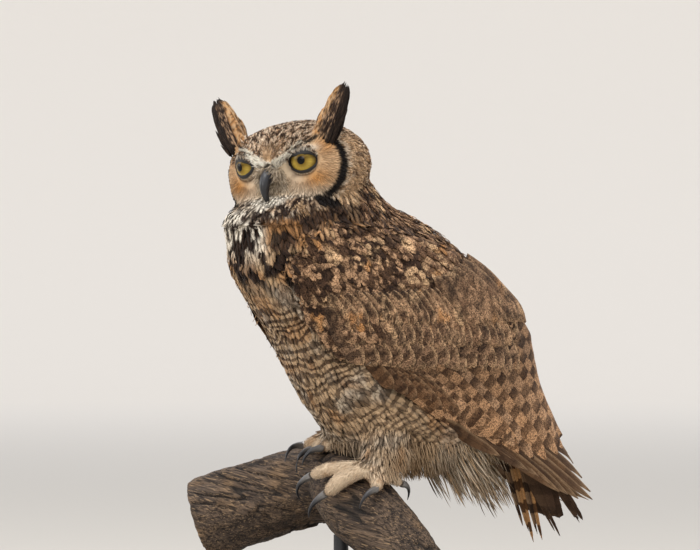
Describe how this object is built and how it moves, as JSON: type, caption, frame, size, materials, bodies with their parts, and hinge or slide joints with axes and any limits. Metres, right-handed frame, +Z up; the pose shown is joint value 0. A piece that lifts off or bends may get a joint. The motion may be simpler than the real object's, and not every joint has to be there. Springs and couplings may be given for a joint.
{
  "type": "great horned owl model",
  "caption": "Life-size still model of a perched owl with ear tufts and a turned head, gripping a cut branch on a display stand.",
  "frame": {"origin": "centre of the stand base's underside", "axes": "+Z up, the owl's body faces -Y, its left side is +X"},
  "size_m": [0.3229, 0.383, 0.5116],
  "materials": {
    "plumage": "soft mottled feathers, matt",
    "flight_feathers": "barred feathers with a faint sheen",
    "foot_feathers": "short pale downy feathers, matt",
    "eye": "wet and glossy, yellow iris and black pupil",
    "horn": "slate black horn, satin",
    "weathered_wood": "rough weathered grey-brown wood",
    "stand": "satin black paint"
  },
  "bodies": {
    "root": {"leg_left": "foot_feathers", "toe_left_middle": "foot_feathers", "claw_left_middle": "horn", "toe_left_inner": "foot_feathers", "claw_left_inner": "horn", "toe_left_outer": "foot_feathers", "claw_left_outer": "horn", "toe_left_hind": "foot_feathers", "claw_left_hind": "horn", "leg_right": "foot_feathers", "toe_right_middle": "foot_feathers", "claw_right_middle": "horn", "toe_right_inner": "foot_feathers", "claw_right_inner": "horn", "toe_right_outer": "foot_feathers", "claw_right_outer": "horn", "toe_right_hind": "foot_feathers", "claw_right_hind": "horn", "trunk": "plumage", "neck": "plumage", "head": "plumage", "bill_upper": "horn", "bill_lower": "horn", "eye_left": "eye", "ear_tuft_left": "plumage", "eye_right": "eye", "ear_tuft_right": "plumage", "wing_left_coverts": "plumage", "wing_left_secondaries": "flight_feathers", "wing_left_primaries": "flight_feathers", "wing_right_coverts": "plumage", "wing_right_secondaries": "flight_feathers", "wing_right_primaries": "flight_feathers", "tail": "flight_feathers", "tail_loose_feather": "flight_feathers", "perch": "weathered_wood", "stand_rod": "stand", "stand_base": "stand"}
  },
  "joints": []
}
